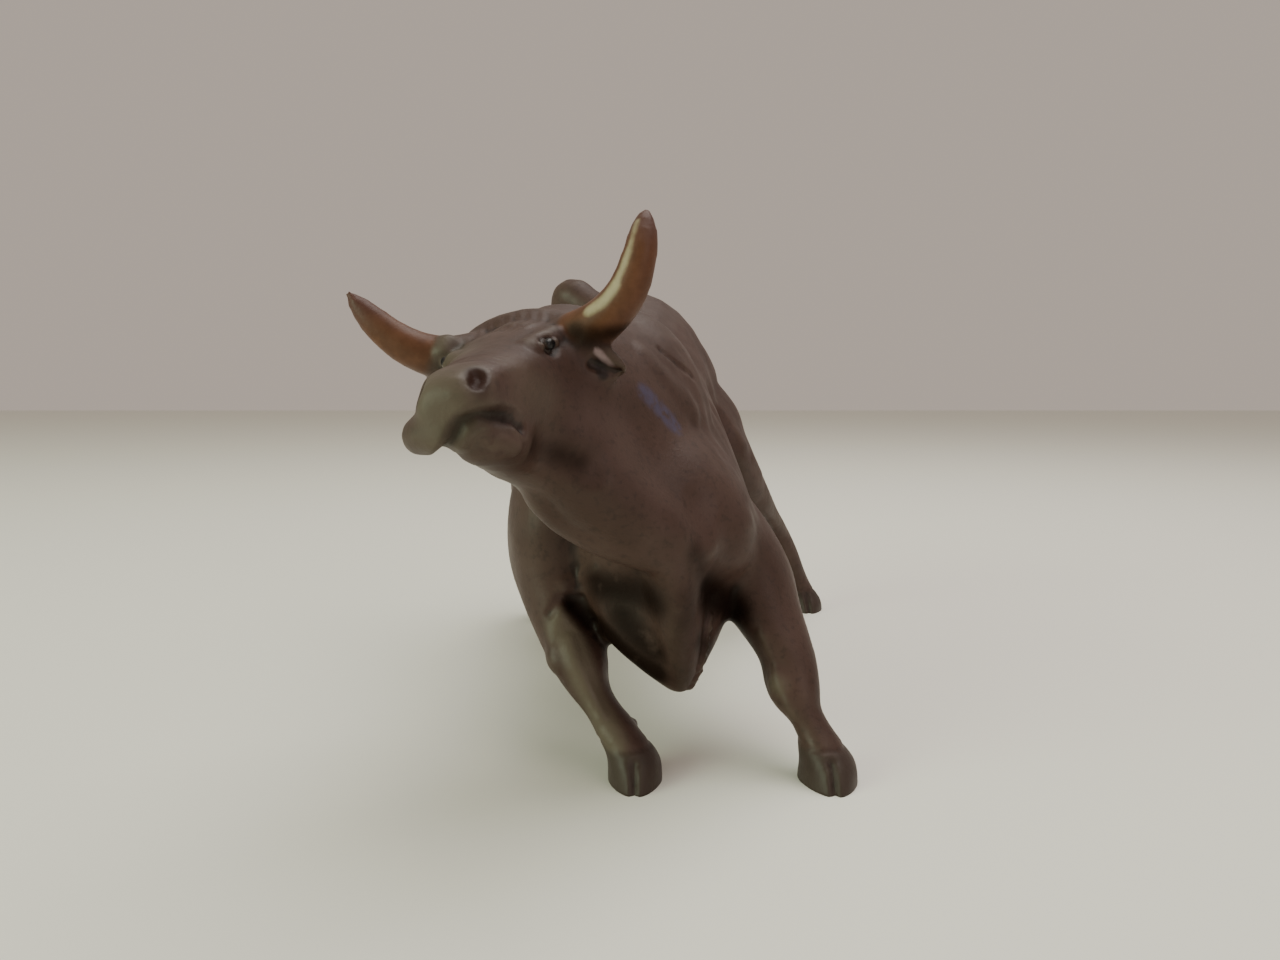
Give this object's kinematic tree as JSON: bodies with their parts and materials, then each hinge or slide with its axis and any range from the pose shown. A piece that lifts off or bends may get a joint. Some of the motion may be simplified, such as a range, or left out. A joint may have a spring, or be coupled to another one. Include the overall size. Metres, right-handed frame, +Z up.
{
  "type": "animal figurine",
  "caption": "Moulded plastic bull in mid-stride, head turned to its right, with swept painted horns, heavy dewlap and a raised tail.",
  "frame": {"origin": "under the middle of the bounding box, on the ground plane that the hooves stand on", "axes": "+Z up, -Y the way the bull walks, +X to the bull's own left"},
  "size_m": [0.0978, 0.1608, 0.094],
  "materials": {
    "brown_plastic": "satin"
  },
  "bodies": {
    "root": {"bull": "brown_plastic"}
  },
  "joints": []
}
